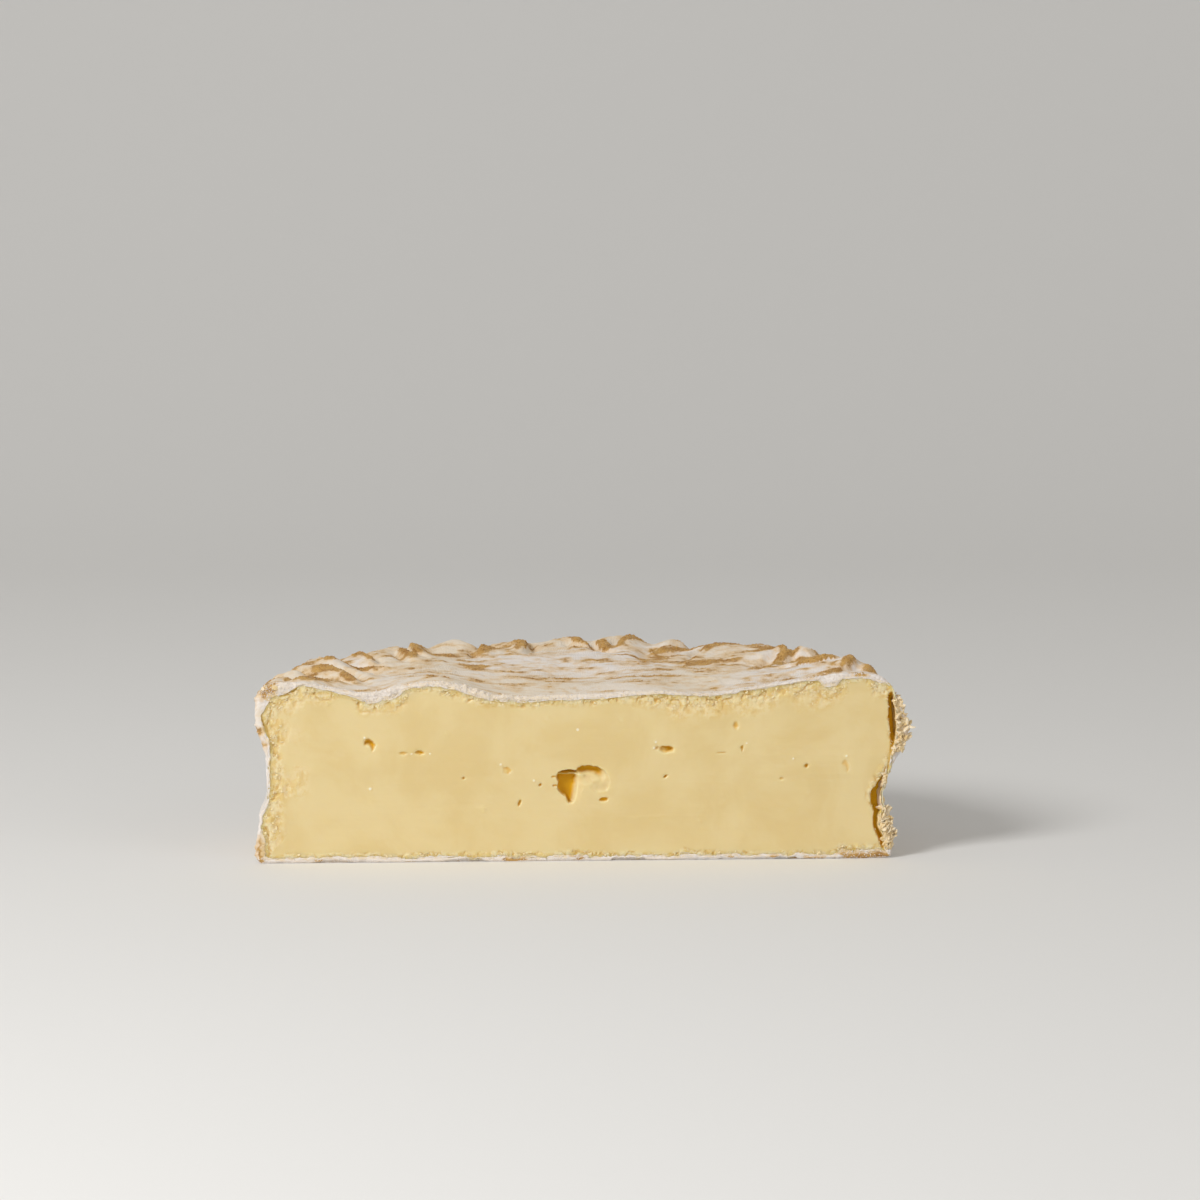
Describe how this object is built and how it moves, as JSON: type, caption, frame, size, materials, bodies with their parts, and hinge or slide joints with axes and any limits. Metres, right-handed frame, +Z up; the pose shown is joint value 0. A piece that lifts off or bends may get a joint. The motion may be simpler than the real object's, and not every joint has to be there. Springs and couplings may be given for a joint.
{
  "type": "half camembert-style cheese",
  "caption": "Half of a small soft-ripened cheese wheel with a wrinkled bloomy rind, lying flat, its straight cut showing pale paste with small eyes.",
  "frame": {"origin": "under the middle of the half's box, on the surface that the half lies on", "axes": "+X along the straight cut, +Y from the cut towards the round side, +Z up through the wheel's thickness"},
  "size_m": [0.1108, 0.0538, 0.0326],
  "materials": {
    "rind": "matt, velvety white bloom with tan worn patches",
    "paste": "satin, soft and slightly translucent"
  },
  "bodies": {
    "root": {"half_cheese": "rind"}
  },
  "joints": []
}
